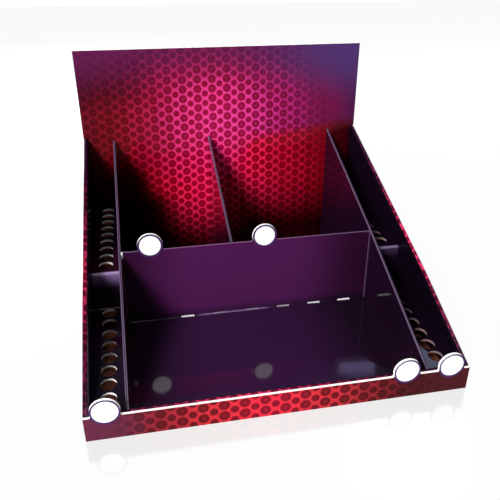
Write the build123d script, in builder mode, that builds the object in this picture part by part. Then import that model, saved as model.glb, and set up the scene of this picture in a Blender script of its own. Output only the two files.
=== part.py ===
from build123d import *
from math import atan2, cos, hypot, sin
import os

# Cardboard counter display stand. A shallow tray, with walls that slope down to the
# front, carries a tall header panel, dividers, a front bin and two stepped shelves.
# Millimetres. +X is to the right as seen from the front, +Y to the back, +Z up.
# The origin is the middle of the footprint, on the surface that the stand rests on.

# Overall sizes
width = 400.0
depth = 394.0
header_height = 309.0

# Board: every wall is one or two plies of it
board = 3.0
ply_gap = 0.5
fold_radius = 3.2
roll_radius = 2.2
fit = 0.3

# Outer tray
wall_height_back = 190.0
wall_height_bend = 81.5
wall_height_front = 31.0
wall_bend_setback = 109.0
wall_bend_radius = 500.0
shoulder_seat = 9.0
front_wall_height = 26.5

# Front lip and its round tabs
lip_height = 27.5
lip_tab_radius = 14.6
lip_tab_rise = 5.8
lip_end_tab_inset = 21.3
lip_third_tab_inset = 71.5
tab_root_radius = 2.0

# Dividers
divider_thickness = 3.0
divider_edge_radius = 1.2
divider_inset = 41.5
middle_divider_x = -23.0
divider_height_back = 186.5
divider_height_front = 21.5
divider_bend_radius = 300.0

# Front bin: a floor and the cross divider, folded from one sheet
cross_divider_setback = 191.0
cross_divider_height = 104.5
cross_tab_x = (-122.2, 18.2)
cross_tab_radius = 15.2
cross_tab_rise = 6.5
crease_cut_length = 16.0
crease_cut_width = 1.2
crease_cut_pitch = 42.0
crease_cut_count = 7
crease_cut_middle_x = 1.8

# Stepped side shelves and their rows of holes
shelf_height_front = 22.0
shelf_height_step = 36.0
shelf_height_upper = 85.0
step_setback = 181.0
hole_radius = 8.4
lower_pitch = 20.2
lower_row_margin = 9.8
upper_pitch = 21.6
upper_row_margin = 20.9
row_end_margin = 2.0

# Places worked out from the sizes
wall = 2 * board + ply_gap
half_width = width / 2
inner_x = half_width - wall
lip_face_y = -depth / 2
tray_front_y = lip_face_y + board
inner_front_y = tray_front_y + wall
tray_back_y = depth / 2
header_back_y = tray_back_y - board
header_front_y = header_back_y - board
piece_front_y = inner_front_y + fit
piece_back_y = header_front_y - fit
wall_bend_y = tray_front_y + wall_bend_setback
cross_front_y = lip_face_y + cross_divider_setback
cross_back_y = cross_front_y + board
step_y = lip_face_y + step_setback
long_divider_x = half_width - divider_inset
bin_half_width = long_divider_x - divider_thickness / 2 - fit
channel_edge_x = long_divider_x + divider_thickness / 2 + fit
channel_width = inner_x - fit - channel_edge_x
channel_middle_x = channel_edge_x + channel_width / 2


def side_plane(x):
    """Upright plane at x, with its own axes along Y and Z."""
    return Plane.YZ.offset(x)


def front_plane(y):
    """Upright plane at y that faces the front, with its own axes along X and Z."""
    return Plane.XZ.offset(-y)


def wall_outline(drop, y_back, z_foot):
    """A side wall seen from its side, with its sloping top lowered by drop."""
    with BuildSketch() as outline:
        with BuildLine():
            FilletPolyline(
                (tray_front_y, z_foot),
                (tray_front_y, wall_height_front - drop),
                (wall_bend_y, wall_height_bend - drop),
                (tray_back_y - shoulder_seat, wall_height_back - drop),
                (y_back, wall_height_back - drop),
                (y_back, z_foot),
                radius=(0, 0, wall_bend_radius, 0, 0, 0),
                close=True,
            )
        make_face()
    return outline.sketch


def top_edges(part, z_above):
    """The edges of a part that run front to back along its top."""
    edges = ShapeList()
    for edge in part.edges():
        start, end = edge @ 0, edge @ 1
        if min(start.Z, end.Z) > z_above and abs(start.Y - end.Y) > abs(start.X - end.X):
            edges.append(edge)
    return edges


def inner_corners(sketch, height, tabs_x, reach):
    """The corners of an outline at a height where its round tabs begin and end."""
    corners = ShapeList()
    for vertex in sketch.vertices():
        near_tab = any(abs(vertex.X - x) < reach for x in tabs_x)
        if near_tab and abs(vertex.Y - height) < 0.01:
            corners.append(vertex)
    return corners


# Outer tray: base, rolled-over side and front walls, single back wall
with BuildPart() as outer_tray:
    with BuildSketch(side_plane(-half_width)):
        add(wall_outline(0, tray_back_y, 0))
    extrude(amount=wall)
    fillet(top_edges(outer_tray, wall_height_front / 2), roll_radius)
    with BuildSketch(side_plane(-inner_x - board - ply_gap)):
        add(wall_outline(board, header_back_y, board))
    extrude(amount=ply_gap, mode=Mode.SUBTRACT)
    mirror(about=Plane.YZ)
    with BuildSketch(side_plane(-inner_x)) as front_section:
        with Locations((tray_front_y, 0)):
            Rectangle(wall, front_wall_height, align=(Align.MIN, Align.MIN))
        inner_top = front_section.vertices().sort_by_distance((inner_front_y, front_wall_height))[0]
        fillet(inner_top, roll_radius)
    extrude(amount=2 * inner_x)
    with BuildSketch(side_plane(-inner_x)):
        with Locations((tray_front_y + board, board)):
            Rectangle(ply_gap, front_wall_height - 2 * board, align=(Align.MIN, Align.MIN))
    extrude(amount=2 * inner_x, mode=Mode.SUBTRACT)
    with BuildSketch(Plane.XY):
        with Locations((0, tray_front_y)):
            Rectangle(width, tray_back_y - tray_front_y, align=(Align.CENTER, Align.MIN))
    extrude(amount=board)
    with BuildSketch(front_plane(tray_back_y)):
        Rectangle(width, wall_height_back, align=(Align.CENTER, Align.MIN))
    extrude(amount=board)
    # The inner plies end just above the base, as the ends of the rolled-over flaps do
    flap_front_y = inner_front_y - board
    with BuildSketch(Plane.XY.offset(board)):
        with Locations((0, flap_front_y)):
            Rectangle(2 * (inner_x + board), header_back_y - flap_front_y, align=(Align.CENTER, Align.MIN))
        with Locations((0, (inner_front_y + header_back_y) / 2)):
            Rectangle(2 * inner_x, header_back_y - inner_front_y, mode=Mode.SUBTRACT)
    extrude(amount=fit, mode=Mode.SUBTRACT)
outer_tray.part.label = "outer_tray"

# Header panel: stands on the base against the back wall, its shoulders over the side walls
with BuildPart() as header_panel:
    with BuildSketch(front_plane(header_back_y)):
        with Locations((0, board)):
            Rectangle(2 * (inner_x - fit), header_height - board, align=(Align.CENTER, Align.MIN))
        with Locations((0, wall_height_back + fit)):
            Rectangle(width, header_height - wall_height_back - fit, align=(Align.CENTER, Align.MIN))
    extrude(amount=board)
header_panel.part.label = "header_panel"

# Front lip: a flat sheet on the face of the front wall, with three round tabs
lip_end_tab_x = half_width - lip_end_tab_inset
lip_tab_x = (-lip_end_tab_x, half_width - lip_third_tab_inset, lip_end_tab_x)
with BuildPart() as front_lip:
    with BuildSketch(front_plane(tray_front_y)) as lip_outline:
        Rectangle(width, lip_height, align=(Align.CENTER, Align.MIN))
        with Locations(*[(x, lip_height + lip_tab_rise) for x in lip_tab_x]):
            Circle(lip_tab_radius)
        tab_roots = inner_corners(lip_outline, lip_height, lip_tab_x, lip_tab_radius)
        fillet(tab_roots, tab_root_radius)
    extrude(amount=board)
front_lip.part.label = "front_lip"

# Dividers: sheets folded double, with the fold along the top
back_slope = (divider_height_back - cross_divider_height) / (header_front_y - cross_front_y)
dividers = []
for name, x in (("left_divider", -long_divider_x), ("right_divider", long_divider_x)):
    with BuildPart() as divider:
        with BuildSketch(side_plane(x - divider_thickness / 2)):
            with BuildLine():
                FilletPolyline(
                    (piece_front_y, board),
                    (piece_front_y, divider_height_front),
                    (cross_front_y, cross_divider_height),
                    (piece_back_y, divider_height_back),
                    (piece_back_y, board),
                    radius=(0, 0, divider_bend_radius, 0, 0),
                    close=True,
                )
            make_face()
        extrude(amount=divider_thickness)
        fillet(top_edges(divider, divider_height_front / 2), divider_edge_radius)
    divider.part.label = name
    dividers.append(divider.part)

with BuildPart() as middle_divider:
    with BuildSketch(side_plane(middle_divider_x - divider_thickness / 2)):
        with BuildLine():
            Polyline(
                (cross_back_y + fit, board),
                (cross_back_y + fit, cross_divider_height + back_slope * (board + fit)),
                (piece_back_y, divider_height_back),
                (piece_back_y, board),
                close=True,
            )
        make_face()
    extrude(amount=divider_thickness)
    fillet(top_edges(middle_divider, cross_divider_height / 2), divider_edge_radius)
middle_divider.part.label = "middle_divider"

# Front bin: its floor lies on the base, and folds up along a cut crease
bin_floor_z = 2 * board
with BuildPart() as front_bin:
    with BuildSketch(front_plane(cross_back_y)) as cross_outline:
        with Locations((0, board)):
            Rectangle(2 * bin_half_width, cross_divider_height - board, align=(Align.CENTER, Align.MIN))
        with Locations(*[(x, cross_divider_height + cross_tab_rise) for x in cross_tab_x]):
            Circle(cross_tab_radius)
        tab_roots = inner_corners(cross_outline, cross_divider_height, cross_tab_x, cross_tab_radius)
        fillet(tab_roots, tab_root_radius)
    extrude(amount=board)
    with BuildSketch(Plane.XY.offset(board)):
        with Locations((0, piece_front_y)):
            Rectangle(2 * bin_half_width, cross_back_y - piece_front_y, align=(Align.CENTER, Align.MIN))
    extrude(amount=board)
    fillet(front_bin.edges().filter_by(Axis.X).group_by(Axis.Z)[0].sort_by(Axis.Y)[-1], board - fit)
    with BuildSketch(Plane.XY.offset(board)):
        with Locations((crease_cut_middle_x, cross_front_y - crease_cut_width / 2)):
            with GridLocations(crease_cut_pitch, 1, crease_cut_count, 1):
                Rectangle(crease_cut_length, crease_cut_width)
    extrude(amount=board, mode=Mode.SUBTRACT)
front_bin.part.label = "front_bin"

# Stepped shelves: one strip each, folded down at the front, at the step and at the back
lower_run = step_y - piece_front_y
lower_rise = shelf_height_step - shelf_height_front
lower_angle = atan2(lower_rise, lower_run)
lower_length = hypot(lower_run, lower_rise)
lower_room = lower_length - lower_row_margin - hole_radius - row_end_margin
lower_count = int(lower_room / lower_pitch) + 1
lower_last_to_middle = lower_row_margin + lower_pitch * (lower_count - 1) / 2
lower_middle_y = step_y - lower_last_to_middle * cos(lower_angle)
lower_middle_z = shelf_height_step - lower_last_to_middle * sin(lower_angle)
upper_room = piece_back_y - step_y - upper_row_margin - hole_radius - row_end_margin
upper_count = int(upper_room / upper_pitch) + 1
upper_middle_y = step_y + upper_row_margin + upper_pitch * (upper_count - 1) / 2
shelves = []
for name, side in (("left_shelf", -1), ("right_shelf", 1)):
    middle_x = side * channel_middle_x
    with BuildPart() as shelf:
        with BuildSketch(side_plane(middle_x - channel_width / 2)):
            with BuildLine():
                FilletPolyline(
                    (piece_front_y, board),
                    (piece_front_y, shelf_height_front),
                    (step_y, shelf_height_step),
                    (step_y, shelf_height_upper),
                    (piece_back_y, shelf_height_upper),
                    (piece_back_y, board),
                    radius=fold_radius,
                )
                offset(amount=board, side=Side.RIGHT)
            make_face()
        extrude(amount=channel_width)
        lower_origin = (middle_x, lower_middle_y, lower_middle_z)
        lower_normal = (0, -sin(lower_angle), cos(lower_angle))
        with BuildSketch(Plane(origin=lower_origin, x_dir=(1, 0, 0), z_dir=lower_normal)):
            with GridLocations(1, lower_pitch, 1, lower_count):
                Circle(hole_radius)
        extrude(amount=2 * board, both=True, mode=Mode.SUBTRACT)
        with BuildSketch(Plane.XY.offset(shelf_height_upper)):
            with Locations((middle_x, upper_middle_y)):
                with GridLocations(1, upper_pitch, 1, upper_count):
                    Circle(hole_radius)
        extrude(amount=2 * board, both=True, mode=Mode.SUBTRACT)
    shelf.part.label = name
    shelves.append(shelf.part)

pieces = [outer_tray.part, header_panel.part, front_lip.part, middle_divider.part, front_bin.part]
os.makedirs("parts", exist_ok=True)
for piece in pieces + dividers + shelves:
    export_step(piece, "parts/" + piece.label + ".step")
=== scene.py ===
import bmesh
import bpy
from math import atan2, cos, hypot, pi, radians, sin, sqrt
from mathutils import Matrix, Vector
from mathutils.geometry import delaunay_2d_cdt


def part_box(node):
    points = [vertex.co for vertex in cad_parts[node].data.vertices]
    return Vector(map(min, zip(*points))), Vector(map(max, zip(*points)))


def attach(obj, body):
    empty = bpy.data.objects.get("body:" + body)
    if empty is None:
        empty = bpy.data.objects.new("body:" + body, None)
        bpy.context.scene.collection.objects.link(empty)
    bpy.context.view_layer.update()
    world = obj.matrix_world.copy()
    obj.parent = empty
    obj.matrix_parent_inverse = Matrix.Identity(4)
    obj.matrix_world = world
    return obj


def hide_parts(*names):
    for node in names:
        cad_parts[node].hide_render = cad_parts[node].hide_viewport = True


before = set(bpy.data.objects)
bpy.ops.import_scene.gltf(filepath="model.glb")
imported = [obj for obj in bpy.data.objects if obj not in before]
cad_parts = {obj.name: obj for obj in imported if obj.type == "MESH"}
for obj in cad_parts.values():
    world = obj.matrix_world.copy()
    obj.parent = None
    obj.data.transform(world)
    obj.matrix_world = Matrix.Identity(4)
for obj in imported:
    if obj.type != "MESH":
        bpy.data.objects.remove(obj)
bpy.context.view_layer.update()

MM = 0.001
WHITE = (1.0, 1.0, 1.0, 1.0)

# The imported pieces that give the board, the lip, the tray and the bin
header_low, header_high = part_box("header_panel")
lip_low, lip_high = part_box("front_lip")
tray_low, tray_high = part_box("outer_tray")
bin_low, bin_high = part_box("front_bin")

# Board: its thickness, its liners, how far its core lies back from a cut, the pitch of its flutes,
# how deep they stand in the core, their paper, and the play between sheets that slide past
BOARD = header_high.y - header_low.y
LINER = 0.35 * MM
CUT_DEPTH = 0.25 * MM
FLUTE_PITCH = 6.2 * MM
FLUTE_STEPS = 10
FLUTE_ROOT = 0.1 * MM
MEDIUM = 0.25 * MM
FIT = 0.3 * MM

# Meshes: stations round a fold, a station beside it that keeps the shading flat, the sharpest
# edge that is shaded smooth, the least mitre at a corner of a cut, and what counts as level with a
# line, as the same place on a mesh and on a flat blank, and as no face at all
ARC_STEPS = 6
SUPPORT = 0.6 * MM
SMOOTH_ANGLE = radians(35)
LEAST_MITRE = 0.8
TINY = 0.01 * MM
SLIVER = 0.001 * MM
SAME_SPOT = 0.0001 * MM
NO_AREA = 1e-12

# Outer tray
TRAY_FRONT = tray_low.y
TRAY_BACK = tray_high.y
HALF_WIDTH = tray_high.x
PLY_GAP = 0.5 * MM
WALL = 2 * BOARD + PLY_GAP
INNER_X = HALF_WIDTH - WALL
WALL_TOP = tray_high.z
WALL_BEND = (TRAY_FRONT + 109 * MM, 81.5 * MM)
WALL_FRONT = 31 * MM
WALL_BEND_RADIUS = 500 * MM
SHOULDER_SEAT = 9 * MM
FRONT_WALL_TOP = 26.5 * MM
FLOOR_SEAT = 0.2 * MM
ROLL_RADIUS = 3.0 * MM
CORNER_RADIUS = 1.5 * MM

# Ends of a rolled wall: the rim of its plies, how far the gap between them sinks, least radius
RIM = 0.9 * MM
RIM_SINK = 0.35 * MM
LEAST_ROLL = 0.25 * MM

# Lip and tabs
LIP_TOP = 27.5 * MM
TAB_RADIUS = 14.6 * MM
TAB_RISE = lip_high.z - LIP_TOP - TAB_RADIUS
TAB_X = (lip_low.x + 21.3 * MM, lip_high.x - 71.5 * MM, lip_high.x - 21.3 * MM)
TAB_ROOT = 2 * MM
TAB_STEPS = 40
ROOT_STEPS = 5
DISC_RADIUS = 12.7 * MM
DISC_RING = 1.0 * MM
RING_FADE = 3.5 * MM
PRINT_EDGE = 0.15 * MM

# Dividers and bin
CROSS_TOP = 104.5 * MM
CROSS_FRONT = bin_high.y - BOARD
CROSS_TAB_X = (-122.2 * MM, 18.2 * MM)
CROSS_TAB_RADIUS = 15.2 * MM
CROSS_TAB_RISE = bin_high.z - CROSS_TOP - CROSS_TAB_RADIUS
CREASE_RADIUS = 0.4 * MM
CREASE_CUT = (16 * MM, 1.2 * MM)
CREASE_BEFORE = 0.2 * MM
CREASE_PITCH = 42 * MM
CREASE_COUNT = 7
CREASE_MIDDLE = 1.8 * MM
DIVIDER_FRONT_TOP = 21.5 * MM
DIVIDER_BEND_RADIUS = 300 * MM
DIVIDER_ROLL = 1.4 * MM

# Shelves
SHELF_FRONT = 22 * MM
SHELF_STEP = 36 * MM
SHELF_UPPER = 85 * MM
STEP_Y = lip_low.y + 181 * MM
FOLD_RADIUS = 3.2 * MM
INNER_FOLD_RADIUS = 0.6 * MM
HOLE_RADIUS = 8.4 * MM
HOLE_STEPS = 44
LOWER_PITCH = 20.2 * MM
LOWER_MARGIN = 9.8 * MM
UPPER_PITCH = 21.6 * MM
UPPER_MARGIN = 20.9 * MM
ROW_END = 2 * MM

# The printed mesh: its pitch, the middle of one small dot on each print, and its two dots
MESH_PITCH = (20.93 * MM, 13.3 * MM)
HEADER_DOT = (-15.6 * MM, 213.5 * MM)
LIP_DOT = (-22.5 * MM, 21.6 * MM)
BIG_DOT = 5.15 * MM
SMALL_DOT = 3.75 * MM

# The glow of each print: its middle, and how far from there its colours fade
HEADER_GLOW = (-8 * MM, 208 * MM)
HEADER_GLOW_REACH = (216 * MM, 180 * MM)
LIP_GLOW = -18 * MM
TRAY_GLOW = -36 * MM
GLOW_REACH = 200 * MM

# Header: across the middle divider its print changes, from left to right of it. The heights are
# those where the red starts and is full, and where the painted shade at its foot starts and is full.
MIDDLE_DIVIDER = (0.0, 60 * MM)
RED_STARTS = (214 * MM, 187 * MM)
RED_FULL = (98 * MM, 167 * MM)
RED_SLANT = 0.1
PAINTED_SHADE_STARTS = (112 * MM, 126 * MM)
PAINTED_SHADE_FULL = (9 * MM, 30 * MM)

# Bin: the middle of its pale field, and how far to its sides it starts to fade and has gone, first
# on the floor and then up the cross divider; and where the rubbed line of its crease lies
BIN_GLOW = -12 * MM
BIN_FADE_STARTS = (44 * MM, 60 * MM)
BIN_FADED = (148 * MM, 160 * MM)
CREASE_LINE = CROSS_FRONT - 0.7 * MM

# Painted shadows in the header's print, in millimetres: where each starts and is full across it
# and up it, and how deep it is, for its lower left corner, behind the left divider, and beside the
# right one
HEADER_PAINTED_SHADOWS = (
    ((-98, -136), (176, 120), 0.85),
    ((-66, -110), (112, 82), 0.8),
    ((152, 172), (206, 180), 0.7),
)

# Colours that the mesh of the header is multiplied by, for the web and for the dots
RED_TINTS = ((1.16, 0.42, 0.43, 1.0), (1.12, 0.40, 0.32, 1.0))
WARM_TINTS = ((0.82, 0.55, 0.38, 1.0), (0.82, 0.55, 0.38, 1.0))
PLUM_TINTS = ((0.62, 0.45, 0.7, 1.0), (0.62, 0.45, 0.7, 1.0))
COOL_TINTS = ((0.87, 1.2, 2.0, 1.0), (0.9, 1.3, 2.6, 1.0))


def colour(red, green, blue):
    """A colour written as 0 to 255 on a screen, as the linear colour that a shader takes."""
    parts = [c / 255 for c in (red, green, blue)]
    return tuple(c / 12.92 if c <= 0.04045 else ((c + 0.055) / 1.055) ** 2.4 for c in parts) + (1.0,)


def put(name, data):
    """A thing in the scene: a mesh, a lamp or the camera."""
    thing = bpy.data.objects.new(name, data)
    bpy.context.scene.collection.objects.link(thing)
    return thing


class Tree:
    """A node tree being made, with short calls for the sums in it."""

    def __init__(self, tree):
        self.nodes = tree.nodes
        self.links = tree.links

    def give(self, socket, value):
        if isinstance(value, bpy.types.NodeSocket):
            self.links.new(value, socket)
        elif value is not None:
            socket.default_value = value

    def node(self, kind, inputs=(), **settings):
        made = self.nodes.new(kind)
        for key, value in settings.items():
            setattr(made, key, value)
        for key, value in dict(inputs).items():
            self.give(made.inputs[key], value)
        return made

    def sum(self, operation, *values):
        made = self.node("ShaderNodeMath", operation=operation)
        for socket, value in zip(made.inputs, values):
            self.give(socket, value)
        return made.outputs[0]

    def plus(self, a, b):
        return self.sum("ADD", a, b)

    def minus(self, a, b):
        return self.sum("SUBTRACT", a, b)

    def times(self, value, *others):
        for other in others:
            value = self.sum("MULTIPLY", value, other)
        return value

    def most(self, a, b):
        return self.sum("MAXIMUM", a, b)

    def rest(self, share):
        """What a share leaves of the whole."""
        return self.minus(1.0, share)

    def off(self, value, place):
        """How far a value is from a place, to either side."""
        return self.sum("ABSOLUTE", self.minus(value, place))

    def vector(self, operation, a, b=None, scale=None):
        made = self.node("ShaderNodeVectorMath", operation=operation)
        self.give(made.inputs[0], a)
        self.give(made.inputs[1], b)
        self.give(made.inputs[3], scale)
        return made.outputs[1 if operation == "LENGTH" else 0]

    def split(self, vector):
        return self.node("ShaderNodeSeparateXYZ", {0: vector}).outputs

    def join(self, x, y, z=0.0):
        return self.node("ShaderNodeCombineXYZ", {0: x, 1: y, 2: z}).outputs[0]

    def ease(self, value, low, high, start=0.0, end=1.0):
        """Runs smoothly from start to end as value goes from low to high."""
        made = self.node("ShaderNodeMapRange", interpolation_type="SMOOTHSTEP")
        for socket, given in zip(made.inputs, (value, low, high, start, end)):
            self.give(socket, given)
        return made.outputs[0]

    def fade(self, length, first, last, start=0.0, end=1.0):
        """The same along a length, between two places in millimetres."""
        return self.ease(length, first * MM, last * MM, start, end)

    def mix(self, share, a, b, blend="MIX"):
        made = self.node("ShaderNodeMix", data_type="RGBA", blend_type=blend)
        self.give(made.inputs["Factor"], share)
        self.give(made.inputs[6], a)
        self.give(made.inputs[7], b)
        return made.outputs[2]


class Finish(Tree):
    """The material of a finish being made."""

    def __init__(self, name):
        self.material = bpy.data.materials.new(name)
        self.material.use_nodes = True
        super().__init__(self.material.node_tree)
        self.shader = self.nodes["Principled BSDF"]
        self.object = self.node("ShaderNodeTexCoord").outputs["Object"]

    def ramp(self, value, stops):
        """A colour ramp with stops given as a place and a colour."""
        made = self.node("ShaderNodeValToRGB", {0: value})
        made.color_ramp.interpolation = "EASE"
        while len(made.color_ramp.elements) < len(stops):
            made.color_ramp.elements.new(0.5)
        for element, (place, shade) in zip(made.color_ramp.elements, stops):
            element.position = place
            element.color = colour(*shade)
        return made.outputs[0]

    def noise(self, vector, scale, detail, rough):
        inputs = {"Vector": vector, "Scale": scale, "Detail": detail, "Roughness": rough}
        return self.node("ShaderNodeTexNoise", inputs).outputs[0]

    def sheen_and_core(self):
        """The mesh's layer that marks folds, for their painted highlight, and the brown part of a cut edge.
        """
        return self.node("ShaderNodeAttribute", attribute_name="sheen_and_core").outputs["Fac"]

    def bump(self, heights):
        """A chain of bumps, from (height, strength, distance)."""
        normal = None
        for height, strength, distance in heights:
            inputs = {"Height": height, "Strength": strength, "Distance": distance}
            made = self.node("ShaderNodeBump", inputs)
            self.give(made.inputs["Normal"], normal)
            normal = made.outputs[0]
        return normal

    def made(self, inputs):
        """The finished material, with its shader's own sockets set or linked."""
        for key, value in inputs.items():
            self.give(self.shader.inputs[key], value)
        return self.material


def laminated(finish, base, shine=1.0, rough=0.06):
    """Gloss film over print: a clear coat over the ink, with the board's faint waves under it."""
    waves = finish.noise(finish.object, 9.0, 1.0, 0.4)
    grain = finish.noise(finish.object, 900.0, 2.0, 0.6)
    normal = finish.bump([(waves, 0.25, 4 * MM), (grain, 0.04, 0.05 * MM)])
    return finish.made({
        "Base Color": base,
        "Roughness": 0.6,
        "Specular IOR Level": 0.0,
        "Coat Weight": shine,
        "Coat Roughness": rough,
        "Coat IOR": 1.5,
        "Normal": normal,
        "Coat Normal": normal,
    })


def mesh_ink(finish, across, up, first, dot, web):
    """A mesh of large and small round dots: dark in a dot, deepest at its rim, and brightest
    along the middle of the web between them."""
    pitch = (*MESH_PITCH, 1.0)
    spot = finish.join(finish.minus(across, first[0]), finish.minus(up, first[1]))
    cells = finish.vector("DIVIDE", spot, pitch)
    gaps = []
    for shift, radius in ((0.5, BIG_DOT), (0.0, SMALL_DOT)):
        cell = finish.vector("FRACTION", finish.vector("ADD", cells, (shift, shift, 0.0)))
        offset = finish.vector("MULTIPLY", finish.vector("SUBTRACT", cell, (0.5, 0.5, 0.0)), pitch)
        gaps.append(finish.minus(finish.vector("LENGTH", offset), radius))
    gap = finish.sum("MINIMUM", *gaps)
    dot = finish.mix(finish.fade(gap, -2.2, -3.6, 0.0, 0.16), dot, web)
    halo = finish.mix(0.28, dot, web)
    ink = finish.mix(finish.fade(gap, -0.5, 0.4), dot, halo)
    return finish.mix(finish.fade(gap, 0.1, 1.75), ink, web)


def header_print():
    """The mesh print of the header panel: its glow, red below and violet towards its top right,
    with dots that fade out to the sides, painted shade on its foot, and painted shadows in its lower
    left corner and beside its dividers."""
    finish = Finish("header_print")
    x, _, z = finish.split(finish.object)
    aside = finish.times(finish.minus(x, HEADER_GLOW[0]), 1 / HEADER_GLOW_REACH[0])
    above = finish.most(finish.minus(z, HEADER_GLOW[1]), 0.0)
    above = finish.times(above, 1 / HEADER_GLOW_REACH[1])
    away = finish.vector("LENGTH", finish.join(aside, above))
    web = finish.ramp(away, [
        (0.0, (228, 64, 145)),
        (0.2, (219, 52, 127)),
        (0.5, (170, 28, 84)),
        (0.75, (124, 16, 52)),
        (1.0, (84, 18, 50)),
    ])
    dot = finish.ramp(away, [
        (0.0, (142, 4, 56)),
        (0.4, (116, 3, 38)),
        (0.75, (88, 3, 24)),
        (1.0, (58, 6, 28)),
    ])
    turned = finish.ease(x, *MIDDLE_DIVIDER)
    slant = finish.times(finish.most(x, 0.0), RED_SLANT)
    start = finish.plus(slant, finish.ease(turned, 0.0, 1.0, *RED_STARTS))
    stop = finish.plus(slant, finish.ease(turned, 0.0, 1.0, *RED_FULL))
    red = finish.ease(z, start, stop)
    warm = finish.times(finish.fade(x, -50, -150), finish.fade(z, 320, 240, 0.4, 1.0))
    plum = finish.times(finish.fade(x, -70, -140), finish.fade(z, 222, 258))
    right = finish.fade(x, -20, 190)
    cool = finish.times(right, finish.rest(red))
    fields = ((red, RED_TINTS), (warm, WARM_TINTS), (plum, PLUM_TINTS), (cool, COOL_TINTS))
    for share, (web_tint, dot_tint) in fields:
        web = finish.mix(share, web, web_tint, "MULTIPLY")
        dot = finish.mix(share, dot, dot_tint, "MULTIPLY")
    raised = finish.plus(finish.times(away, 20 * MM), finish.times(right, 22 * MM))
    violet = finish.fade(finish.plus(z, raised), 252, 336, 0.0, 0.95)
    web = finish.mix(violet, web, finish.mix(right, colour(92, 26, 72), colour(72, 48, 104)))
    dot = finish.mix(violet, dot, finish.mix(right, colour(78, 18, 62), colour(64, 38, 92)))
    to_right = finish.plus(x, finish.times(finish.minus(z, 200 * MM), 0.3))
    to_left = finish.minus(finish.times(finish.minus(z, 260 * MM), 1.2), x)
    faded = finish.most(
        finish.fade(to_right, 95, 178, 0.0, 0.85),
        finish.fade(to_left, 150, 230, 0.0, 0.7),
    )
    between = finish.mix(0.5, web, dot)
    web, dot = finish.mix(faded, web, between), finish.mix(faded, dot, between)
    ink = mesh_ink(finish, x, z, HEADER_DOT, dot, web)
    # Painted shade: the print is darkened towards the foot of the header, reaching higher to the right of the
    # middle divider
    start = finish.ease(turned, 0.0, 1.0, *PAINTED_SHADE_STARTS)
    full = finish.ease(turned, 0.0, 1.0, *PAINTED_SHADE_FULL)
    kept = finish.ease(z, start, full, 1.0, 0.05)
    # Painted shadows: each darkens the print where a shadow falls on the header
    for across, up, depth in HEADER_PAINTED_SHADOWS:
        shade = finish.times(finish.fade(x, *across), finish.fade(z, *up, 0.0, depth))
        kept = finish.times(kept, finish.rest(shade))
    return laminated(finish, finish.vector("SCALE", ink, scale=kept), shine=0.1)


def kraft_colour(finish, deep, pale):
    """Unprinted brown paper, with short fibres."""
    fibres = finish.noise(finish.vector("MULTIPLY", finish.object, (1.0, 1.0, 0.5)), 900.0, 3.0, 0.6)
    return finish.mix(finish.ease(fibres, 0.3, 0.7), deep, pale)


def lip_print():
    """The mesh print of the lip, red in the middle and plum at its ends, with bare white discs."""
    finish = Finish("lip_print")
    x, _, z = finish.split(finish.object)
    away = finish.times(finish.off(x, LIP_GLOW), 1 / GLOW_REACH)
    web = finish.ramp(away, [
        (0.0, (232, 42, 64)),
        (0.3, (200, 42, 54)),
        (0.55, (142, 32, 44)),
        (0.8, (92, 28, 42)),
        (1.0, (84, 28, 44)),
    ])
    dot = finish.ramp(away, [
        (0.0, (126, 12, 34)),
        (0.4, (92, 12, 20)),
        (0.8, (66, 14, 24)),
        (1.0, (64, 16, 30)),
    ])
    violet = finish.fade(x, -126, -186)
    web = finish.mix(violet, web, colour(96, 38, 62))
    dot = finish.mix(violet, dot, colour(90, 35, 58))
    ink = mesh_ink(finish, x, z, LIP_DOT, dot, web)
    dark = finish.fade(x, 50, 150)
    ink = finish.mix(dark, ink, (0.62, 0.38, 0.36, 1.0), "MULTIPLY")
    ink = finish.mix(finish.fade(x, 110, 185, 0.0, 0.75), ink, colour(70, 20, 28))
    ink = discs(finish, ink, x, z, TAB_X, LIP_TOP + TAB_RISE)
    return laminated(finish, ink, shine=0.15)


def discs(finish, ink, x, z, places, height):
    """Bare white discs on the round tabs, each in a thin violet ring that fades into the print."""
    gap = None
    for place in places:
        spot = finish.join(finish.minus(x, place), finish.minus(z, height))
        here = finish.vector("LENGTH", spot)
        gap = here if gap is None else finish.sum("MINIMUM", gap, here)
    ring = finish.ease(gap, DISC_RADIUS + RING_FADE, DISC_RADIUS + DISC_RING)
    ink = finish.mix(ring, ink, colour(66, 44, 96))
    disc = finish.ease(gap, DISC_RADIUS + PRINT_EDGE, DISC_RADIUS - PRINT_EDGE)
    return finish.mix(disc, ink, colour(250, 250, 248))


def dark_ink(finish, shade, deep):
    """Dark ink with a slow change of tone."""
    tone = finish.noise(finish.object, 5.0, 1.0, 0.5)
    return finish.mix(finish.ease(tone, 0.35, 0.65), shade, deep)


def plain_print(name, shade, deep, shine, rough):
    """Dark ink without a mesh, for the dividers and the lining of the walls."""
    finish = Finish(name)
    return laminated(finish, fold_highlight(finish, dark_ink(finish, shade, deep)), shine, rough)


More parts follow.
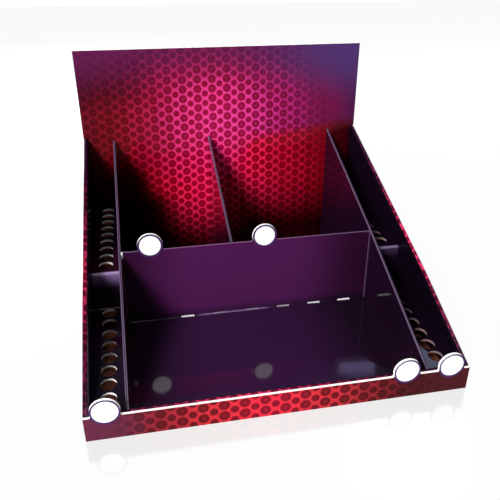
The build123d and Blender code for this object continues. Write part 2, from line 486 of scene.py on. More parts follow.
def bin_print():
    """Dark purple ink, painted lighter up the cross divider as painted light on the upright face, and
    lighter in its middle, with a paler right end, a nick in its left corner, and the crease, whose
    slots show white where they stand open."""
    finish = Finish("bin_print")
    x, y, z = finish.split(finish.object)
    up = finish.fade(z, 5, 22)
    start = finish.ease(up, 0.0, 1.0, *BIN_FADE_STARTS)
    gone = finish.ease(up, 0.0, 1.0, *BIN_FADED)
    away = finish.ease(finish.off(x, BIN_GLOW), start, gone)
    # Painted light: the same ink is painted lighter up the cross divider than on the floor, for the stronger
    # light on the upright face
    middle = finish.mix(up, colour(44, 19, 51), colour(72, 25, 74))
    sides = finish.mix(up, colour(22, 10, 25), colour(38, 11, 35))
    ink = fold_highlight(finish, finish.mix(away, middle, sides))
    end = finish.times(
        finish.ease(x, bin_high.x - 1.1 * MM, bin_high.x - 0.8 * MM, 0.0, 0.55),
        finish.fade(z, 6.6, 7.2),
    )
    ink = finish.mix(end, ink, colour(128, 98, 142))
    nick = finish.times(
        finish.ease(x, bin_low.x + 1.8 * MM, bin_low.x + 1.4 * MM),
        finish.fade(z, 96, 97),
    )
    ink = finish.mix(nick, ink, colour(246, 240, 244))
    crease = finish.times(
        finish.fade(finish.off(y, CREASE_LINE), 0.95, 0.75),
        finish.fade(z, 8.0, 7.2),
        finish.fade(z, 4.5, 4.8, 0.1, 1.0),
    )
    pale_band = finish.fade(finish.off(x, -22 * MM), 52, 36, 0.0, 0.4)
    ink = finish.mix(finish.times(crease, pale_band), ink, colour(150, 120, 170))
    cell = finish.sum("DIVIDE", finish.minus(x, CREASE_MIDDLE), CREASE_PITCH)
    cell = finish.off(finish.sum("FRACT", finish.plus(cell, 0.5)), 0.5)
    near = finish.times(cell, CREASE_PITCH)
    slot = finish.ease(near, CREASE_CUT[0] / 2 + 0.4 * MM, CREASE_CUT[0] / 2 + 0.1 * MM)
    left = finish.fade(finish.off(x, -82 * MM), 24, 12, 0.0, 0.9)
    right = finish.times(finish.fade(x, -66, -60), finish.fade(x, 0, 130, 0.12, 0.95))
    shown = finish.times(crease, slot, finish.most(left, right))
    ink = finish.mix(shown, ink, colour(250, 248, 250))
    return laminated(finish, discs(finish, ink, x, z, CROSS_TAB_X, CROSS_TOP + CROSS_TAB_RISE))


def shelf_print():
    """Near-black ink, with a painted highlight that pales it towards the fold at the top of the step, most on
    the left.
    """
    finish = Finish("shelf_print")
    x, y, z = finish.split(finish.object)
    ink = dark_ink(finish, colour(22, 9, 26), colour(16, 6, 19))
    # Painted highlight on the top of the riser near the fold, weaker on the right
    right = finish.fade(x, -20, 20)
    start = finish.plus(62 * MM, finish.times(right, 5 * MM))
    pale_band = finish.times(
        finish.fade(finish.off(y, STEP_Y), 4, 2),
        finish.ease(z, start, SHELF_UPPER + MM),
        finish.rest(finish.times(right, 0.8)),
    )
    ink = finish.mix(pale_band, ink, colour(118, 92, 138))
    return laminated(finish, fold_highlight(finish, ink))


def fold_highlight(finish, ink):
    """Ink that is painted paler where the board is folded: a painted highlight of the fold catching light."""
    return finish.mix(finish.times(finish.sheen_and_core(), 0.45), ink, colour(150, 128, 165))


def tray_print():
    """The mesh print of the tray's outside, rolled over its walls and fading to plum at its ends."""
    finish = Finish("tray_print")
    x, y, z = finish.split(finish.object)
    over = finish.minus(HALF_WIDTH, finish.sum("ABSOLUTE", x))
    front = finish.ease(y, TRAY_FRONT + WALL + 0.2 * MM, TRAY_FRONT + WALL)
    back = finish.ease(y, TRAY_BACK - BOARD, TRAY_BACK - 0.9 * BOARD)
    ends = finish.plus(front, back)
    side = finish.rest(ends)
    along = finish.plus(finish.times(x, ends), finish.times(y, side))
    up = finish.plus(z, finish.times(over, side))
    up = finish.plus(up, finish.times(finish.minus(y, TRAY_FRONT), front))
    away = finish.times(finish.off(along, TRAY_GLOW), 1 / GLOW_REACH)
    web = finish.ramp(away, [
        (0.0, (232, 66, 112)),
        (0.2, (206, 50, 96)),
        (0.5, (126, 30, 70)),
        (1.0, (66, 24, 58)),
    ])
    dot = finish.ramp(away, [
        (0.0, (120, 12, 44)),
        (0.3, (84, 10, 36)),
        (0.6, (52, 12, 34)),
        (1.0, (44, 14, 38)),
    ])
    ink = mesh_ink(finish, along, up, LIP_DOT, dot, web)
    left = finish.times(finish.fade(x, 20, -20), side)
    ink = finish.mix(finish.most(left, back), ink, (0.5, 0.42, 0.48, 1.0), "MULTIPLY")
    return laminated(finish, ink, shine=0.2)


def kraft(name, deep, pale):
    """The unprinted side of the board, brown and matt."""
    finish = Finish(name)
    ribs = finish.noise(finish.object, 600.0, 2.0, 0.5)
    return finish.made({
        "Base Color": kraft_colour(finish, deep, pale),
        "Roughness": 0.8,
        "Specular IOR Level": 0.25,
        "Normal": finish.bump([(ribs, 0.2, 0.1 * MM)]),
    })


def cut_edge(name, of_shelf=False):
    """The white cut edge of the board, brown in its lower half where the mesh's fold and core layer
    says so. A shelf's edge has painted shade on the right, where it is toned down, and painted light
    on the left, where its white reaches a little deeper down."""
    finish = Finish(name)
    fibres = finish.noise(finish.object, 700.0, 3.0, 0.6)
    white = finish.mix(fibres, colour(246, 243, 239), colour(254, 253, 250))
    deep = finish.sheen_and_core()
    if of_shelf:
        # Painted shade darkens the right shelf's edges, and painted light whitens the left ones deeper down
        right = finish.fade(finish.split(finish.object)[0], 20, 60)
        white = finish.mix(right, white, colour(122, 112, 120))
        deep = finish.minus(deep, finish.ease(right, 0.0, 1.0, 0.3, 0.0))
    paper = finish.mix(finish.ease(deep, 0.5, 0.65), white, kraft_colour(finish, *CORE_BROWN))
    return finish.made({
        "Base Color": paper,
        "Roughness": 0.85,
        "Specular IOR Level": 0.2,
        "Normal": finish.bump([(fibres, 0.3, 0.1 * MM)]),
    })


# The places of a piece's materials: printed, unprinted, cut, and bare or a second kind of cut
PRINT, PLAIN, CUT, BARE = range(4)


class Making:
    """A piece's mesh being made: its points, its faces with their finish, and where folds get their
    painted highlight.
    """

    def __init__(self):
        self.points = []
        self.sheen_and_core = []
        self.faces = []
        self.finish = []

    def point(self, place, sheen_and_core=0.0):
        self.points.append(place)
        self.sheen_and_core.append(sheen_and_core)
        return len(self.points) - 1

    def face(self, corners, finish):
        self.faces.append(corners)
        self.finish.append(finish)

    def band(self, first, second, finish):
        """Faces between two closed rows of points."""
        for i in range(len(first)):
            j = (i + 1) % len(first)
            self.face((first[i], first[j], second[j], second[i]), finish)


def folded_line(corners, radii):
    """Stations along a folded board's printed face, seen from its side: how far along, y, z, its
    direction as an angle, and the fold's share of painted highlight."""
    angles = [atan2(b[1] - a[1], b[0] - a[0]) for a, b in zip(corners, corners[1:])]
    along = 0.0
    y, z = corners[0]
    line = [(along, y, z, angles[0], 0.0)]
    for corner, radius, before, after in zip(corners[1:], radii, angles, angles[1:]):
        turn = after - before
        side = 1 if turn > 0 else -1
        cut = radius * abs(sin(turn / 2) / cos(turn / 2))
        run = hypot(corner[0] - y, corner[1] - z) - cut
        for near in (SUPPORT, run - SUPPORT):
            line.append((along + near, y + near * cos(before), z + near * sin(before), before, 0.0))
        along += run
        y, z = y + run * cos(before), z + run * sin(before)
        middle = (y - side * radius * sin(before), z + side * radius * cos(before))
        start = along
        for step in range(ARC_STEPS + 1):
            share = step / ARC_STEPS
            angle = before + turn * share
            y = middle[0] + side * radius * sin(angle)
            z = middle[1] - side * radius * cos(angle)
            along = start + radius * abs(turn) * share
            line.append((along, y, z, angle, sin(pi * share) if side < 0 else 0.0))
    last = angles[-1]
    line.append((along + SUPPORT, y + SUPPORT * cos(last), z + SUPPORT * sin(last), last, 0.0))
    run = hypot(corners[-1][0] - y, corners[-1][1] - z)
    line.append((along + run, *corners[-1], last, 0.0))
    return line


def on_line(line, along):
    """The place, direction and painted fold highlight of a folded line at a distance along it."""
    for before, after in zip(line, line[1:]):
        if along <= after[0] or after is line[-1]:
            share = (along - before[0]) / max(after[0] - before[0], SLIVER)
            return [a + (b - a) * share for a, b in zip(before, after)]


def along_at(line, y):
    """How far along a folded line a place y is, where the line goes back steadily."""
    for before, after in zip(line, line[1:]):
        if before[1] <= y <= after[1] and after[1] > before[1] + SLIVER:
            return before[0] + (after[0] - before[0]) * (y - before[1]) / (after[1] - before[1])


def bend(line):
    """The folding of a flat blank round a folded line, its depth away from the printed face."""

    def place(across, along, depth):
        _, y, z, angle, _ = on_line(line, along)
        return (across, y + depth * sin(angle), z - depth * cos(angle))

    return place


def circle(x, z, radius):
    turns = [2 * pi * i / HOLE_STEPS for i in range(HOLE_STEPS)]
    return [(x + radius * cos(a), z + radius * sin(a)) for a in turns]


def arc(x, z, radius, start, end, steps):
    turns = [start + (end - start) * i / steps for i in range(steps + 1)]
    return [(x + radius * cos(a), z + radius * sin(a)) for a in turns]


def tabbed_outline(foot, top, half, tabs, radius, rise):
    """A sheet's outline with round tabs that stand out of its top edge."""
    points = [(-half, foot), (half, foot), (half, top)]
    reach = sqrt((radius + TAB_ROOT) ** 2 - (rise - TAB_ROOT) ** 2)
    lean = atan2(TAB_ROOT - rise, reach)
    for x in sorted(tabs, reverse=True):
        points += arc(x + reach, top + TAB_ROOT, TAB_ROOT, 1.5 * pi, pi + lean, ROOT_STEPS)
        points += arc(x, top + rise, radius, lean, pi - lean, TAB_STEPS)[1:-1]
        points += arc(x - reach, top + TAB_ROOT, TAB_ROOT, -lean, -0.5 * pi, ROOT_STEPS)
    return points + [(-half, top)]


def inside(spot, loops):
    """Whether a flat point is inside an outline and outside its holes."""
    x, y = spot
    odd = False
    for loop in loops:
        for (ax, ay), (bx, by) in zip(loop, loop[1:] + loop[:1]):
            if (ay > y) != (by > y) and x < ax + (bx - ax) * (y - ay) / (by - ay):
                odd = not odd
    return odd


def never_sheened(along):
    return 0.0


def never_folded(a, b):
    return False


def cut_sheet(making, loops, place, stops=(), sheen_and_core=never_sheened, flutes_up=True, folded=never_folded, core=CUT):
    """Cuts a flat blank with its holes, divides it along stops, and folds it with place. Gives
    the cut lines for the flutes."""
    flat, edges = [], []
    for loop in loops:
        first = len(flat)
        flat += [Vector(spot) for spot in loop]
        edges += [(first + i, first + (i + 1) % len(loop)) for i in range(len(loop))]
    low = min(spot.x for spot in flat) - 10 * MM
    high = max(spot.x for spot in flat) + 10 * MM
    for stop in stops:
        edges.append((len(flat), len(flat) + 1))
        flat += [Vector((low, stop)), Vector((high, stop))]
    spots, _, triangles, _, _, _ = delaunay_2d_cdt(flat, edges, [], 0, SAME_SPOT)
    kept = []
    for triangle in triangles:
        a, b, c = (spots[i] for i in triangle)
        if (b - a).cross(c - a) < 0:
            triangle = triangle[::-1]
        if abs((b - a).cross(c - a)) > NO_AREA and inside((a + b + c) / 3, loops):
            kept.append(triangle)
    directed = {(t[i], t[(i + 1) % 3]) for t in kept for i in range(3)}
    following = {a: b for a, b in directed if (b, a) not in directed}
    used = sorted({i for t in kept for i in t})
    rows = {}
    for i in used:
        spot = spots[i]
        fold_highlight = sheen_and_core(spot.y)
        rows[i] = [making.point(place(spot.x, spot.y, 0.0), fold_highlight)]
        rows[i].append(making.point(place(spot.x, spot.y, BOARD), fold_highlight))
    for a, b, c in kept:
        making.face((rows[a][0], rows[b][0], rows[c][0]), PRINT)
        making.face((rows[c][1], rows[b][1], rows[a][1]), PLAIN)
    lines = []
    waiting = set(following)
    while waiting:
        start = min(waiting)
        loop = [start]
        while following[loop[-1]] != start:
            loop.append(following[loop[-1]])
        waiting -= set(loop)
        cut = [spots[i] for i in loop]
        lines += close_cut(making, cut, [rows[i] for i in loop], place, flutes_up, folded, core)
    return lines


def close_cut(making, spots, rows, place, flutes_up, folded, core):
    """Closes one cut edge with its two liners and the core set back between them, and gives the
    lines that its flutes follow. Where the edge is a fold, it is closed plain in print."""
    count = len(spots)
    after = [(i + 1) % count for i in range(count)]
    plain = [folded(spots[i], spots[after[i]]) for i in range(count)]
    inward = []
    for i in range(count):
        first = (spots[i] - spots[i - 1]).normalized()
        second = (spots[after[i]] - spots[i]).normalized()
        side = Vector((-first.y - second.y, first.x + second.x))
        inward.append(side.normalized() * 2 / max(side.length, LEAST_MITRE))
    rings = [[row[0] for row in rows]]
    brown = core != CUT
    inner = BOARD - LINER
    for depth, inset in ((LINER, 0.0), (LINER, CUT_DEPTH), (inner, CUT_DEPTH), (inner, 0.0)):
        ring = []
        for i, spot in enumerate(spots):
            fold = plain[i] or plain[i - 1]
            moved = spot if fold else spot + inward[i] * inset
            deep = brown and depth > BOARD / 2
            ring.append(making.point(place(moved.x, moved.y, depth), 1.0 if fold or deep else 0.0))
        rings.append(ring)
    rings.append([row[1] for row in rows])
    for first, second in zip(rings, rings[1:]):
        for i in range(count):
            j = after[i]
            making.face((first[i], first[j], second[j], second[i]), PRINT if plain[i] else core)
    runs, run = [], []
    start = plain.index(True) if True in plain else 0
    for i in [(start + k) % count for k in range(count)]:
        if plain[i]:
            if run:
                runs.append((run + [flute_point(place, spots[i], inward[i], flutes_up)], False))
            run = []
            continue
        a, b = spots[i], spots[after[i]]
        change = abs(b.x - a.x) if flutes_up else abs(b.y - a.y)
        steps = max(1, round(change / (FLUTE_PITCH / FLUTE_STEPS)))
        for step in range(steps):
            share = step / steps
            way = inward[i].lerp(inward[after[i]], share)
            run.append(flute_point(place, a.lerp(b, share), way, flutes_up))
    if run:
        runs.append((run, True not in plain))
    return runs


def flute_point(place, spot, way, flutes_up):
    """A point of a cut line: its place, the ways through the board and into it, and its run."""
    edge = Vector(place(spot.x, spot.y, BOARD / 2))
    across = (Vector(place(spot.x, spot.y, BOARD / 2 + MM)) - edge) / MM
    inner = spot + way * MM
    into = (Vector(place(inner.x, inner.y, BOARD / 2)) - edge) / MM
    return edge, across, into, spot.x if flutes_up else spot.y


def flute_tree():
    """Geometry nodes that turn a cut line into the wavy edge of the board's corrugated core."""
    group = bpy.data.node_groups.new("board_flutes", "GeometryNodeTree")
    kinds = {"Cut line": "Geometry", "Finish": "Material"}
    sockets = {}
    for name in ("Cut line", "Pitch", "Height", "Depth", "Paper", "Finish"):
        kind = "NodeSocket" + kinds.get(name, "Float")
        sockets[name] = group.interface.new_socket(name, in_out="INPUT", socket_type=kind).identifier
    group.interface.new_socket("Flutes", in_out="OUTPUT", socket_type="NodeSocketGeometry")
    tree = Tree(group)
    node = tree.node

    def layer(name, kind):
        return node("GeometryNodeInputNamedAttribute", {"Name": name}, data_type=kind).outputs[0]

    given = node("NodeGroupInput").outputs
    across = layer("across", "FLOAT_VECTOR")
    turn = tree.times(tree.sum("DIVIDE", layer("run", "FLOAT"), given["Pitch"]), 2 * pi)
    swing = tree.minus(tree.times(given["Height"], 0.5), given["Paper"])
    wave = tree.times(tree.sum("SINE", turn), swing)
    moved = {"Geometry": given["Cut line"], "Offset": tree.vector("SCALE", across, scale=wave)}
    waved = node("GeometryNodeSetPosition", moved)
    inner = tree.vector("SCALE", layer("inward", "FLOAT_VECTOR"), scale=given["Depth"])
    strip = node("GeometryNodeExtrudeMesh", {"Mesh": waved.outputs[0], "Offset": inner}, mode="EDGES")
    thick = tree.vector("SCALE", across, scale=given["Paper"])
    sheet = {"Mesh": strip.outputs[0], "Offset": thick, "Individual": False}
    solid = node("GeometryNodeExtrudeMesh", sheet, mode="FACES")
    under = node("GeometryNodeFlipFaces", {"Mesh": strip.outputs[0]})
    both = node("GeometryNodeJoinGeometry")
    tree.give(both.inputs[0], solid.outputs[0])
    tree.give(both.inputs[0], under.outputs[0])
    closed = node("GeometryNodeMergeByDistance", {"Geometry": both.outputs[0], "Distance": SLIVER})
    real = node("GeometryNodeRealizeInstances", {"Geometry": closed.outputs[0]})
    paper = {"Geometry": real.outputs[0], "Material": given["Finish"]}
    node("NodeGroupOutput", {0: node("GeometryNodeSetMaterial", paper).outputs[0]})
    return group, sockets


def flutes(lines):
    """The flutes of a piece's cut edges, as a plain mesh."""
    mesh = bpy.data.meshes.new("cut_lines")
    points, edges = [], []
    for line, closed in lines:
        first = len(points)
        points += line
        edges += [(first + i, first + i + 1) for i in range(len(line) - 1)]
        if closed:
            edges.append((first + len(line) - 1, first))
    mesh.from_pydata([point[0] for point in points], edges, [])
    for name, place in (("across", 1), ("inward", 2)):
        layer = mesh.attributes.new(name, "FLOAT_VECTOR", "POINT")
        layer.data.foreach_set("vector", [part for point in points for part in point[place]])
    layer = mesh.attributes.new("run", "FLOAT", "POINT")
    layer.data.foreach_set("value", [point[3] for point in points])
    thing = put("cut_lines", mesh)
    modifier = thing.modifiers.new("flutes", "NODES")
    modifier.node_group = FLUTES
    inputs = {
        "Pitch": FLUTE_PITCH,
        "Height": BOARD - 2 * LINER,
        "Depth": CUT_DEPTH + FLUTE_ROOT,
        "Paper": MEDIUM,
        "Finish": CUT_EDGE,
    }
    for name, value in inputs.items():
        modifier[FLUTE_SOCKETS[name]] = value
    settled = thing.evaluated_get(bpy.context.evaluated_depsgraph_get())
    made = bpy.data.meshes.new_from_object(settled)
    thing.modifiers.remove(modifier)
    bpy.data.objects.remove(thing)
    return made


def finished_piece(name, making, materials, node, lines=(), flute_finish=CUT):
    """Makes the object of a piece, with its flutes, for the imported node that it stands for."""
    mesh = bpy.data.meshes.new(name)
    mesh.from_pydata(making.points, [], making.faces)
    for polygon, finish in zip(mesh.polygons, making.finish):
        polygon.material_index = finish
    layer = mesh.attributes.new("sheen_and_core", "FLOAT", "POINT")
    layer.data.foreach_set("value", making.sheen_and_core)
    bm = bmesh.new()
    bm.from_mesh(mesh)
    if lines:
        count = len(bm.faces)
        bm.from_mesh(flutes(lines))
        bm.faces.ensure_lookup_table()
        for face in bm.faces[count:]:
            face.material_index = flute_finish
    bmesh.ops.dissolve_degenerate(bm, dist=SLIVER, edges=bm.edges)
    bmesh.ops.recalc_face_normals(bm, faces=bm.faces)
    bm.to_mesh(mesh)
    bm.free()
    for material in materials:
        mesh.materials.append(material)
    mesh.polygons.foreach_set("use_smooth", [True] * len(mesh.polygons))
    mesh.set_sharp_from_angle(angle=SMOOTH_ANGLE)
    thing = put(name, mesh)
    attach(thing, "root")
    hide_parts(node)


def top_line(corners, radius):
    """Stations along a sloping top edge, whose one inner bend is round."""
    (ay, az), (by, bz), (cy, cz) = corners[:3]
    before, after = atan2(bz - az, by - ay), atan2(cz - bz, cy - by)
    turn = after - before
    cut = radius * abs(sin(turn / 2) / cos(turn / 2))
    side = 1 if turn > 0 else -1
    y, z = by - cut * cos(before), bz - cut * sin(before)
    middle = (y - side * radius * sin(before), z + side * radius * cos(before))
    line = [(ay, az)]
    for step in range(ARC_STEPS * 2 + 1):
        angle = before + turn * step / (ARC_STEPS * 2)
        line.append((middle[0] + side * radius * sin(angle), middle[1] - side * radius * cos(angle)))
    return line + list(corners[2:])


def rolled_wall(making, outer_x, inner_x, line, foot, roll, finishes, fold_sheen_share, foot_radius=0.0):
    """A board wall rolled over along its sloping top line, with the ends of its plies as rims. Its
    finishes are those of its outer face, its inner face and its rims."""
    side = 1 if inner_x > outer_x else -1
    width = abs(inner_x - outer_x)
    outer_finish, inner_finish, rim_finish = finishes

    def section(i, shrink):
        y, z = line[i]
        if i in (0, len(line) - 1):
            lean = 0.0
        else:
            (ay, az), (by, bz) = line[i - 1], line[i + 1]
            lean = atan2(bz - az, by - ay)
        radius = max(roll - shrink, LEAST_ROLL)
        spots = [(shrink, shrink + radius + SUPPORT, 0.0)]
        for step in range(ARC_STEPS + 1):
            turn = pi / 2 * step / ARC_STEPS
            drop = shrink + radius * (1 - sin(turn))
            # The fold's share of painted highlight, strongest in the middle of the roll
            spots.append((shrink + radius * (1 - cos(turn)), drop, fold_sheen_share * sin(2 * turn)))
        spots += [(width - x, drop, sheen_and_core) for x, drop, sheen_and_core in reversed(spots)]
        row = []
        for x, drop, sheen_and_core in spots:
            row.append(((outer_x + side * x, y + drop * sin(lean), z - drop * cos(lean)), sheen_and_core))
        first, last = row[0][0], row[-1][0]
        ground = foot + shrink
        steps = ARC_STEPS if foot_radius else 0
        low = []
        for step in range(steps + 1):
            turn = pi / 2 * step / max(steps, 1)
            x = first[0] + side * foot_radius * (1 - sin(turn))
            low.append(((x, first[1], ground + foot_radius * (1 - cos(turn))), 0.0))
        if foot_radius:
            low.append(((first[0], first[1], ground + foot_radius + SUPPORT), 0.0))
        return low + row + [((last[0], last[1], ground), 0.0)]

    rows = [[making.point(*spot) for spot in section(i, 0.0)] for i in range(len(line))]
    count = len(rows[0])
    inner_from = count - 3 - ARC_STEPS * 2 // 3
    for first, second in zip(rows, rows[1:]):
        for i in range(count):
            j = (i + 1) % count
            finish = inner_finish if i >= inner_from else outer_finish
            making.face((first[i], first[j], second[j], second[i]), finish)
    for end, way in ((0, 1), (len(line) - 1, -1)):
        inner = [place for place, _ in section(end, RIM)]
        ring = [making.point(place) for place in inner]
        sunk = [making.point((x, y + way * RIM_SINK, z)) for x, y, z in inner]
        making.band(rows[end], ring, rim_finish)
        making.band(ring, sunk, rim_finish)
        making.face(tuple(sunk), PLAIN)


def box(making, low, high, finish):
    spans = list(zip(low, high))
    corners = [making.point((x, y, z)) for z in spans[2] for y in spans[1] for x in spans[0]]
    for face in ((0, 1, 3, 2), (4, 5, 7, 6), (0, 1, 5, 4), (2, 3, 7, 6), (0, 2, 6, 4), (1, 3, 7, 5)):
        making.face(tuple(corners[i] for i in face), finish)


# Finishes: the middle divider's own ink is glossy too, for the mirror image of the print beside it
DIVIDER_INK = (colour(31, 10, 34), colour(24, 8, 27))
CORE_BROWN = (colour(116, 60, 46), colour(142, 82, 62))
LINING = plain_print("wall_lining", colour(19, 8, 22), colour(14, 6, 17), 0.35, 0.06)
DIVIDER_PRINT = plain_print("divider_print", *DIVIDER_INK, 1.0, 0.1)
MIDDLE_PRINT = plain_print("middle_print", *DIVIDER_INK, 1.0, 0.1)
middle_ink = MIDDLE_PRINT.node_tree.nodes["Principled BSDF"].inputs
middle_ink["Specular IOR Level"].default_value = 0.6
middle_ink["Roughness"].default_value = 0.12
CUT_EDGE = cut_edge("cut_edge")
SHELF_EDGE = cut_edge("shelf_edge", of_shelf=True)
SHELF_PRINT = shelf_print()
KRAFT = kraft("kraft", colour(158, 116, 82), colour(176, 134, 98))
CORE_KRAFT = kraft("core_kraft", *CORE_BROWN)
FLUTES, FLUTE_SOCKETS = flute_tree()


def upright(y):
    """A flat sheet that stands up, with its printed face at y and its thickness behind it."""
    return lambda across, along, depth: (across, y + depth, along)


def fold_sheen(line):
    """The painted fold highlight of a folded sheet, by how far along it a point lies."""
    return lambda along: on_line(line, along)[4]


def rectangle(left, right, low, high):
    return [(left, low), (right, low), (right, high), (left, high)]


def make_header():
    making = Making()
    side = INNER_X - FIT
    shoulder = WALL_TOP + FIT
    low, high = header_low.z, header_high.z
    outline = [(-side, low), (side, low), (side, shoulder), (HALF_WIDTH, shoulder), (HALF_WIDTH, high)]
    outline += [(-HALF_WIDTH, high), (-HALF_WIDTH, shoulder), (-side, shoulder)]
    lines = cut_sheet(making, [outline], upright(header_low.y))
    materials = (header_print(), KRAFT, CUT_EDGE)
    finished_piece("header_sheet", making, materials, "header_panel", lines)


def make_lip():
    making = Making()
    outline = tabbed_outline(0.0, LIP_TOP, HALF_WIDTH, TAB_X, TAB_RADIUS, TAB_RISE)
    lines = cut_sheet(making, [outline], upright(lip_low.y))
    finished_piece("lip_sheet", making, (lip_print(), KRAFT, CUT_EDGE), "front_lip", lines)


def make_bin():
    making = Making()
    half = bin_high.x
    floor_top = 2 * BOARD
    corners = [(bin_low.y, floor_top), (CROSS_FRONT, floor_top), (CROSS_FRONT, bin_high.z)]
    line = folded_line(corners, [CREASE_RADIUS])
    top = line[-1][0] - bin_high.z + CROSS_TOP
    loops = [tabbed_outline(0.0, top, half, CROSS_TAB_X, CROSS_TAB_RADIUS, CROSS_TAB_RISE)]
    length, width = CREASE_CUT
    start = along_at(line, CROSS_FRONT - width - CREASE_BEFORE)
    for i in range(CREASE_COUNT):
        x = CREASE_MIDDLE + CREASE_PITCH * (i - (CREASE_COUNT - 1) / 2)
        loops.append(rectangle(x - length / 2, x + length / 2, start, start + width))
    stops = [station[0] for station in line[1:-1]]

    def printed_edge(a, b):
        """The top edge, which is a fold, and the edges of the slots in the crease."""
        lower, upper = min(a.y, b.y), max(a.y, b.y)
        at_top = top - TINY < lower and upper < top + TAB_ROOT * 1.01
        at_slot = start - TINY < lower and upper < start + width + TINY and abs(a.x) < half - MM
        return at_top or at_slot

    lines = cut_sheet(making, loops, bend(line), stops, fold_sheen(line), folded=printed_edge)
    materials = (bin_print(), KRAFT, CUT_EDGE)
    finished_piece("bin_sheet", making, materials, "front_bin", lines)


def hole_row(length, margin, pitch):
    """How far from the step the holes of a row lie, for a row that ends after a length."""
    count = int((length - margin - HOLE_RADIUS - ROW_END) / pitch) + 1
    return [margin + i * pitch for i in range(count)]


def make_shelf(name, node):
    low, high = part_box(node)
    middle = (low.x + high.x) / 2
    half = (high.x - low.x) / 2
    making = Making()
    corners = [(low.y, low.z), (low.y, SHELF_FRONT), (STEP_Y, SHELF_STEP)]
    corners += [(STEP_Y, SHELF_UPPER), (high.y, SHELF_UPPER), (high.y, low.z)]
    line = folded_line(corners, [FOLD_RADIUS, INNER_FOLD_RADIUS, FOLD_RADIUS, FOLD_RADIUS])
    loops = [rectangle(middle - half, middle + half, 0.0, line[-1][0])]
    run, rise = STEP_Y - low.y, SHELF_STEP - SHELF_FRONT
    slope = atan2(rise, run)
    places = [STEP_Y - far * cos(slope) for far in hole_row(hypot(run, rise), LOWER_MARGIN, LOWER_PITCH)]
    places += [STEP_Y + far for far in hole_row(high.y - STEP_Y, UPPER_MARGIN, UPPER_PITCH)]
    loops += [circle(middle, along_at(line, y), HOLE_RADIUS) for y in places]
    stops = [station[0] for station in line[1:-1]]
    lines = cut_sheet(making, loops, bend(line), stops, fold_sheen(line), flutes_up=False, core=BARE)
    materials = (SHELF_PRINT, CORE_KRAFT, CUT_EDGE, SHELF_EDGE)
    finished_piece(name, making, materials, node, lines, BARE)


def make_divider(name, node):
    low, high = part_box(node)
    making = Making()
    if low.y < CROSS_FRONT:
        corners = [(low.y, DIVIDER_FRONT_TOP), (CROSS_FRONT, CROSS_TOP), (high.y, high.z)]
        line = top_line(corners, DIVIDER_BEND_RADIUS)
        rim, ink = CUT, DIVIDER_PRINT
    else:
        slope = (high.z - CROSS_TOP) / (header_low.y - CROSS_FRONT)
        line = [(low.y, CROSS_TOP + slope * (BOARD + FIT)), (high.y, high.z)]
        rim, ink = PRINT, MIDDLE_PRINT
    rolled_wall(making, low.x, high.x, line, low.z, DIVIDER_ROLL, (PRINT, PRINT, rim), 1.0)
    finished_piece(name, making, (ink, ink, CUT_EDGE), node)


def make_tray():
    making = Making()
    shoulder = [(TRAY_BACK - SHOULDER_SEAT, WALL_TOP), (TRAY_BACK - BOARD, WALL_TOP)]
    line = top_line([(TRAY_FRONT, WALL_FRONT), WALL_BEND, *shoulder], WALL_BEND_RADIUS)
    finishes = (PRINT, PLAIN, PRINT)
    for side in (-1, 1):
        outer, inner = side * HALF_WIDTH, side * INNER_X
        rolled_wall(making, outer, inner, line, 0.0, ROLL_RADIUS, finishes, 0.0, CORNER_RADIUS)
    box(making, (-INNER_X, TRAY_FRONT, 0.0), (INNER_X, TRAY_BACK - BOARD, BOARD), BARE)
    back = TRAY_FRONT + WALL
    seat = BOARD - FLOOR_SEAT
    roll = arc(back - ROLL_RADIUS, FRONT_WALL_TOP - ROLL_RADIUS, ROLL_RADIUS, pi / 2, 0.0, ARC_STEPS)
    profile = [(TRAY_FRONT, 0.0), (TRAY_FRONT, FRONT_WALL_TOP), *roll]
    profile += [(back, seat), (TRAY_FRONT + BOARD, seat), (TRAY_FRONT + BOARD, 0.0)]
    ends = [[making.point((x, y, z)) for y, z in profile] for x in (-INNER_X, INNER_X)]
    making.band(*ends, PRINT)
    for end in ends:
        making.face(tuple(end), PRINT)

    def outside(across, along, depth):
        return (-across, TRAY_BACK - depth, along)

    def corner(a, b):
        return abs(a.x - b.x) < TINY

    outline = rectangle(-HALF_WIDTH, HALF_WIDTH, 0.0, WALL_TOP)
    lines = cut_sheet(making, [outline], outside, folded=corner)
    materials = (tray_print(), LINING, CUT_EDGE, CORE_KRAFT)
    finished_piece("tray_shell", making, materials, "outer_tray", lines)


make_tray()
make_header()
make_lip()
make_bin()
make_divider("left_divider_sheet", "left_divider")
make_divider("right_divider_sheet", "right_divider")
make_divider("middle_divider_sheet", "middle_divider")
make_shelf("left_shelf_sheet", "left_shelf")
make_shelf("right_shelf_sheet", "right_shelf")

# Camera, at the photograph's viewing angle
CAMERA_AT = Vector((-0.1245, -0.6333, 0.4147))
CAMERA_LOOKS = Vector((0.1733, 0.8765, -0.4491)).normalized()
CAMERA_ROLL = radians(-0.12)
FOCAL_PIXELS = 575.5
PHOTO_PIXELS = 500


def make_camera():
    data = bpy.data.cameras.new("camera")
    data.lens = FOCAL_PIXELS / PHOTO_PIXELS * data.sensor_width
    camera = put("camera", data)
    level = CAMERA_LOOKS.cross(Vector((0, 0, 1))).normalized()
    right = level * cos(CAMERA_ROLL) + level.cross(CAMERA_LOOKS) * sin(CAMERA_ROLL)
    up = right.cross(CAMERA_LOOKS)
    turn = Matrix((right, up, -CAMERA_LOOKS)).transposed()
    camera.matrix_world = Matrix.Translation(CAMERA_AT) @ turn.to_4x4()
    bpy.context.scene.camera = camera


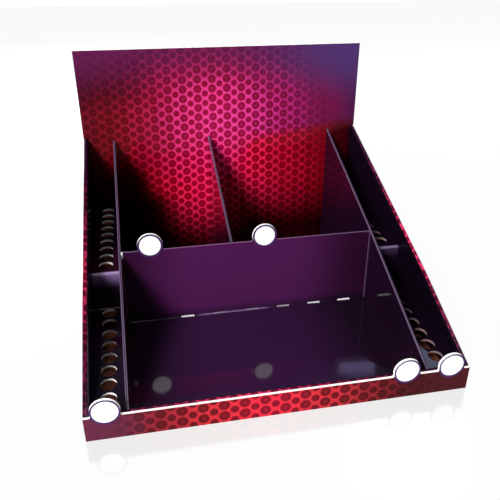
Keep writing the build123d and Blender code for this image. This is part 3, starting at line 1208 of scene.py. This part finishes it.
# Studio: how steeply up the dim ceiling starts and is full, its colour in mirror images, the fill
# light low down and high up, and the floor's reach, shade, whiteness and polish
CEILING_STARTS = 0.12
CEILING_FULL = 0.32
CEILING = (0.08, 0.085, 0.12, 1.0)
FILL_LOW = (0.16, 0.16, 0.17, 1.0)
FILL_HIGH = (0.015, 0.015, 0.018, 1.0)
FLOOR_REACH = 6.0
FLOOR_SHADE = (0.4, 0.4, 0.4, 1.0)
FLOOR_WHITE = 0.95
FLOOR_POLISH = 0.16
FLOOR_BLUR = 0.12

# Lamps: tints, and the spots that they shine onto
PLAIN_LIGHT = (1.0, 1.0, 1.0)
KEY_LIGHT = (1.0, 0.985, 0.97)
PALE_BLUE = (0.6, 0.68, 1.0)
DEEP_BLUE = (0.55, 0.5, 1.0)
STAND_MIDDLE = (0.0, 0.0, 0.08)
BIN_RIGHT = (0.0905, -0.159, 0.006)


def soft_light(name, way, distance, size, power, tint=PLAIN_LIGHT, spot=STAND_MIDDLE, only=None):
    """A rectangular soft light that shines one way onto a spot from a distance. With only, it
    lights that one thing and nothing else."""
    data = bpy.data.lights.new(name, "AREA")
    data.shape = "RECTANGLE"
    data.size, data.size_y = size
    data.energy = power
    data.color = tint
    lamp = put(name, data)
    direction = Vector(way).normalized()
    lamp.location = Vector(spot) - direction * distance
    lamp.rotation_euler = direction.to_track_quat("-Z", "Y").to_euler()
    if only:
        lit = bpy.data.collections.new("lit_by_" + name)
        lit.objects.link(only)
        lamp.light_linking.receiver_collection = lit


def make_world():
    """A studio that is white to the camera and in mirror images, low down, under a dim ceiling."""
    world = bpy.data.worlds.new("studio")
    bpy.context.scene.world = world
    world.use_nodes = True
    tree = Tree(world.node_tree)
    height = tree.split(tree.node("ShaderNodeTexCoord").outputs["Generated"])[2]
    height = tree.ease(height, CEILING_STARTS, CEILING_FULL)
    path = tree.node("ShaderNodeLightPath").outputs
    mirrored = tree.most(path["Is Glossy Ray"], path["Is Transmission Ray"])
    fill = tree.mix(height, FILL_LOW, FILL_HIGH)
    room = tree.mix(height, WHITE, CEILING)
    shown = tree.mix(mirrored, fill, room)
    shown = tree.mix(path["Is Camera Ray"], shown, WHITE)
    background = tree.nodes["Background"].inputs
    tree.give(background["Color"], shown)
    background["Strength"].default_value = 1.0


def make_floor():
    """A table that is white to the camera and in mirror images, keeps the stand's shadow, and
    mirrors it softly."""
    mesh = bpy.data.meshes.new("floor")
    corners = rectangle(-FLOOR_REACH, FLOOR_REACH, -FLOOR_REACH, FLOOR_REACH)
    mesh.from_pydata([(x, y, 0.0) for x, y in corners], [], [(0, 1, 2, 3)])
    table = put("floor", mesh)
    finish = Finish("floor")
    mesh.materials.append(finish.made({"Base Color": FLOOR_SHADE, "Roughness": 0.5}))
    glow = finish.node("ShaderNodeEmission", {"Color": WHITE, "Strength": 1.0})
    polish = finish.node("ShaderNodeBsdfGlossy", {"Roughness": FLOOR_BLUR})
    shown = {0: FLOOR_POLISH, 1: glow.outputs[0], 2: polish.outputs[0]}
    shown = finish.node("ShaderNodeMixShader", shown).outputs[0]
    path = finish.node("ShaderNodeLightPath").outputs
    seen = finish.most(path["Is Camera Ray"], path["Is Glossy Ray"])
    seen = finish.most(seen, path["Is Transmission Ray"])
    both = {0: finish.times(seen, FLOOR_WHITE), 1: finish.shader.outputs[0], 2: shown}
    both = finish.node("ShaderNodeMixShader", both).outputs[0]
    finish.give(finish.nodes["Material Output"].inputs["Surface"], both)
    return table


make_camera()
soft_light("key", (0.563, 0.614, -0.553), 4.0, (1.2, 1.2), 232.0, KEY_LIGHT)
soft_light("top", (0.04, 0.2, -0.98), 3.0, (1.0, 1.0), 16.0)
soft_light("right_panel", (-0.323, -0.72, -0.614), 2.6, (0.17, 0.075), 0.062, DEEP_BLUE, BIN_RIGHT)
soft_light("corner_panel", (-0.437, -0.549, -0.713), 2.53, (0.5, 0.34), 1.0, PALE_BLUE)
soft_light("back", (0.25, -0.93, -0.26), 3.0, (2.0, 1.2), 40.0)
soft_light("right", (-0.93, -0.22, -0.24), 3.0, (1.6, 1.0), 36.0)
make_world()
soft_light("sky", (0, 0.001, -1), 2.0, (30.0, 30.0), 3100.0, spot=(0, 0, 0), only=make_floor())
bpy.context.scene.view_settings.view_transform = "Standard"
